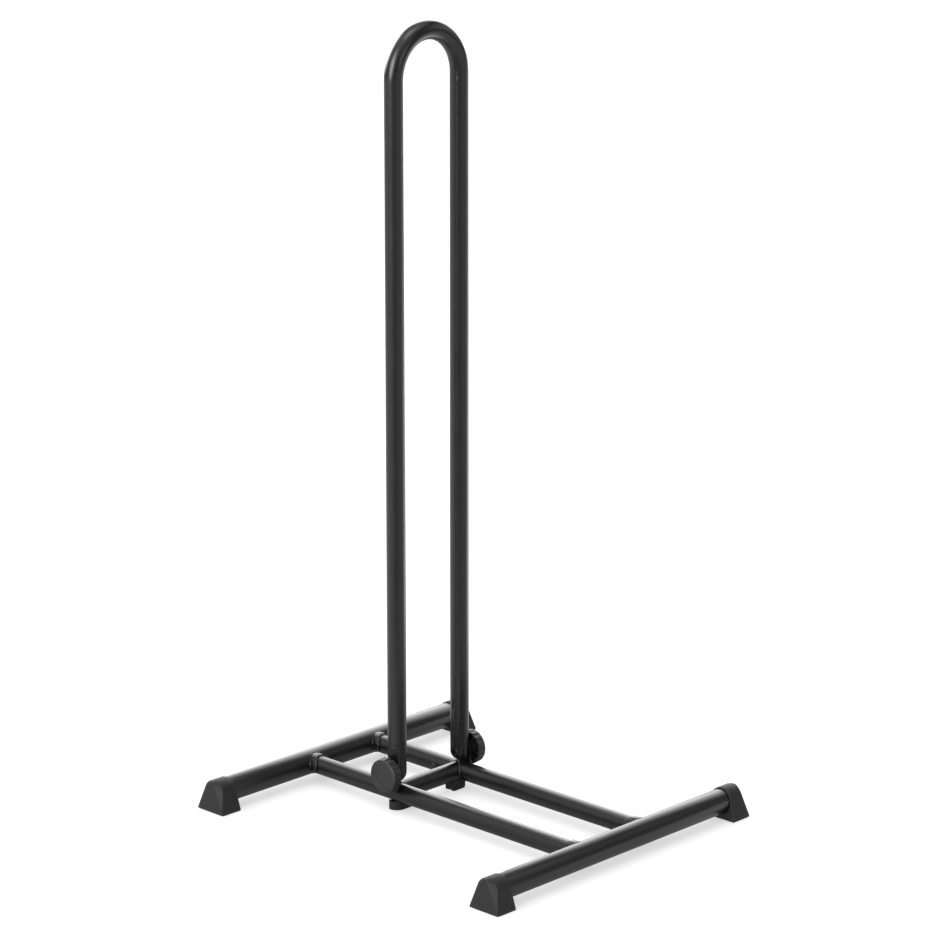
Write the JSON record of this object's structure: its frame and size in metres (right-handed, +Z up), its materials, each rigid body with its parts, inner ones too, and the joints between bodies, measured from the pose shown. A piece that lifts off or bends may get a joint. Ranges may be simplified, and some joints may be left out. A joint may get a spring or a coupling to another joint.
{
  "type": "folding bike stand",
  "caption": "Free-standing floor stand with a tall narrow tube hoop that holds a bicycle wheel and folds flat over a tubular base when its side knobs are loosened.",
  "frame": {"origin": "on the floor below the middle of the base", "axes": "+X along the crossbars to the right as seen from the front, -Y towards the front, +Z up"},
  "size_m": [0.3674, 0.418, 0.792],
  "materials": {
    "black_paint": "satin black powder coat",
    "rubber_feet": "matte black moulded rubber",
    "knob_plastic": "matte black moulded plastic",
    "plug_plastic": "matte black moulded plastic",
    "black_bolts": "blackened steel",
    "washer_steel": "blackened steel",
    "insert_brass": "turned brass"
  },
  "bodies": {
    "base": {"front_crossbar": "black_paint", "rear_crossbar": "black_paint", "front_left_foot": "rubber_feet", "front_left_rail_saddle": "black_paint", "front_right_foot": "rubber_feet", "front_right_rail_saddle": "black_paint", "rear_left_foot": "rubber_feet", "rear_left_rail_saddle": "black_paint", "rear_right_foot": "rubber_feet", "rear_right_rail_saddle": "black_paint", "rail_link_tube": "black_paint", "left_rail": "black_paint", "left_rail_plug": "plug_plastic", "left_hinge_plate": "black_paint", "left_middle_foot": "rubber_feet", "right_rail": "black_paint", "right_rail_plug": "plug_plastic", "right_hinge_plate": "black_paint", "right_middle_foot": "rubber_feet"},
    "hoop": {"wheel_hoop": "black_paint", "left_hinge_fitting": "black_paint", "left_hinge_bolt": "black_bolts", "right_hinge_fitting": "black_paint", "right_hinge_bolt": "black_bolts"},
    "left_knob": {"left_knob": "knob_plastic", "left_knob_insert": "insert_brass", "left_knob_washer": "washer_steel"},
    "right_knob": {"right_knob": "knob_plastic", "right_knob_insert": "insert_brass", "right_knob_washer": "washer_steel"}
  },
  "joints": [
    {"name": "hoop_fold", "type": "hinge", "parent": "base", "child": "hoop", "pos_m": [0, 0.062, 0.0395], "axis": [1, 0, 0], "range_deg": [-89.2, 89.6]},
    {"name": "left_knob_turn", "type": "hinge", "parent": "hoop", "child": "left_knob", "pos_m": [-0.06, 0.062, 0.0395], "axis": [-1, 0, 0], "range_deg": [0, 810]},
    {"name": "right_knob_turn", "type": "hinge", "parent": "hoop", "child": "right_knob", "pos_m": [0.06, 0.062, 0.0395], "axis": [1, 0, 0], "range_deg": [0, 810]}
  ]
}
